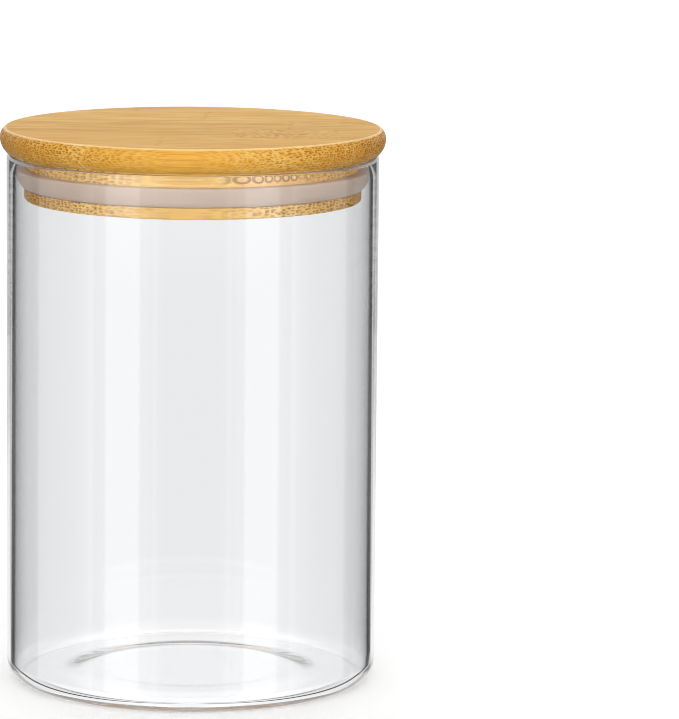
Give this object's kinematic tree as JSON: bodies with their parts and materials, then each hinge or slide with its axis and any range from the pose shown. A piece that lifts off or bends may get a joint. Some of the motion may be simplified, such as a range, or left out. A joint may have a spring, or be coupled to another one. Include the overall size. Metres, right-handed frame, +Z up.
{
  "type": "lidded glass canister",
  "caption": "Straight round glass storage jar closed by a laminated bamboo plug lid with a translucent silicone seal; the lid turns and lifts off.",
  "frame": {"origin": "centre of the ring that the jar stands on", "axes": "+Z up along the jar's axis; +X to the right and -Y towards a viewer in front; the lid's grain lies close to X"},
  "size_m": [0.1036, 0.1036, 0.15],
  "materials": {
    "glass": "clear, polished, fire-polished rim",
    "silicone": "milky translucent, smooth satin",
    "bamboo_cover": "sanded and oiled bamboo, fine end-grain dots",
    "bamboo_upper_plug": "turned bamboo, large open bundles",
    "bamboo_lower_plug": "turned bamboo, fine end-grain dots"
  },
  "bodies": {
    "jar": {"glass_jar": "glass"},
    "seal": {"seal_ring": "silicone"},
    "lid": {"cover_strip_1": "bamboo_cover", "cover_strip_2": "bamboo_cover", "cover_strip_3": "bamboo_cover", "cover_strip_4": "bamboo_cover", "cover_strip_5": "bamboo_cover", "cover_strip_6": "bamboo_cover", "upper_plug_strip_1": "bamboo_upper_plug", "upper_plug_strip_2": "bamboo_upper_plug", "upper_plug_strip_3": "bamboo_upper_plug", "upper_plug_strip_4": "bamboo_upper_plug", "upper_plug_strip_5": "bamboo_upper_plug", "lower_plug_strip_1": "bamboo_lower_plug", "lower_plug_strip_2": "bamboo_lower_plug", "lower_plug_strip_3": "bamboo_lower_plug", "lower_plug_strip_4": "bamboo_lower_plug", "lower_plug_strip_5": "bamboo_lower_plug"}
  },
  "joints": [
    {"name": "lid_lift", "type": "slide", "parent": "jar", "child": "seal", "axis": [0, 0, 1], "range_m": [0, 0.08]},
    {"name": "lid_turn", "type": "hinge", "parent": "seal", "child": "lid", "pos_m": [0, 0, 0.1405], "axis": [0, 0, 1], "continuous": true}
  ]
}
